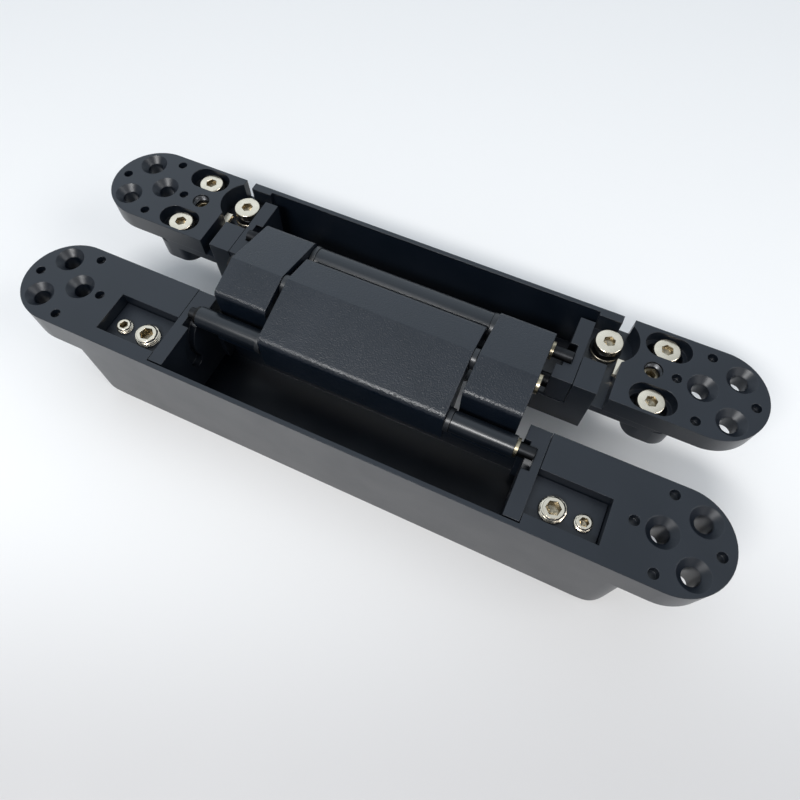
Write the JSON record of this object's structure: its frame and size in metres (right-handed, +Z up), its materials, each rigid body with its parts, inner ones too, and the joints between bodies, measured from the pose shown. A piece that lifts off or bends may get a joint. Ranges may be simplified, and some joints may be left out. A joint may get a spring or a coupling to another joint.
{
  "type": "concealed hinge",
  "caption": "Concealed door hinge in black, lying open at 180 degrees, with scissor arms between two mortise housings and three-way adjusting screws.",
  "frame": {"origin": "under the middle of the gap between the two sides, at the underside of the leaf housing", "axes": "X along the hinge, Y from the leaf side to the frame side, Z up out of the open faces"},
  "size_m": [0.24, 0.082, 0.052],
  "materials": {
    "black_coat": "satin black coat with a fine grain",
    "black_sleeve": "smooth black sleeve",
    "dark_washer": "dark sliding washer",
    "brass": "plain turned brass",
    "nickel_screws": "bright nickel-plated screws",
    "steel_pins": "ground steel"
  },
  "bodies": {
    "leaf": {"leaf_housing": "black_coat", "side_adjust_screws": "nickel_screws"},
    "leaf_slides": {"leaf_slide_left": "black_coat", "leaf_slide_right": "black_coat", "slide_lock_screws": "nickel_screws", "leaf_pivot_shaft": "steel_pins"},
    "side_arms": {"side_arm_left": "black_coat", "side_arm_right": "black_coat", "arm_pivot_pin": "steel_pins", "arm_washers": "dark_washer", "arm_brass_washers": "brass", "frame_guide_pin": "steel_pins", "frame_tube": "black_sleeve", "frame_tube_washers": "dark_washer", "frame_brass_washers": "brass"},
    "centre_arm_set": {"centre_arm": "black_coat", "leaf_guide_pin": "steel_pins", "leaf_tube_left": "black_sleeve", "leaf_tube_right": "black_sleeve", "leaf_tube_washers": "dark_washer", "leaf_brass_washers": "brass"},
    "frame_slides": {"frame_slide_left": "black_coat", "frame_slide_right": "black_coat", "frame_pivot_shaft": "steel_pins"},
    "frame_channel": {"frame_housing": "black_coat", "depth_adjust_screws": "nickel_screws", "plate_clamp_screws": "nickel_screws"},
    "end_plates": {"end_plate_left": "black_coat", "end_plate_right": "black_coat", "height_set_screws": "nickel_screws", "height_keys": "nickel_screws"}
  },
  "joints": [
    {"name": "side_adjust", "type": "slide", "parent": "leaf", "child": "leaf_slides", "axis": [0, 0, 1], "range_m": [-0.003, 0.003]},
    {"name": "fold", "type": "hinge", "parent": "leaf_slides", "child": "side_arms", "pos_m": [0, -0.0135, 0.03], "axis": [1, 0, 0], "range_deg": [0, 94.64]},
    {"name": "arm_cross", "type": "hinge", "parent": "side_arms", "child": "centre_arm_set", "pos_m": [0, 0, 0.048], "axis": [1, 0, 0], "range_deg": [-9.3, 0]},
    {"name": "frame_fold", "type": "hinge", "parent": "centre_arm_set", "child": "frame_slides", "pos_m": [0, 0.0135, 0.03], "axis": [1, 0, 0], "range_deg": [0, 94.66]},
    {"name": "depth_adjust", "type": "slide", "parent": "frame_slides", "child": "frame_channel", "axis": [0, 1, 0], "range_m": [-0.001, 0.001]},
    {"name": "height_adjust", "type": "slide", "parent": "frame_channel", "child": "end_plates", "axis": [1, 0, 0], "range_m": [-0.003, 0.003]}
  ],
  "couplings": [
    {"joint": "arm_cross", "follows": "fold", "ratio": -0.098035},
    {"joint": "frame_fold", "follows": "fold", "ratio": 1}
  ]
}
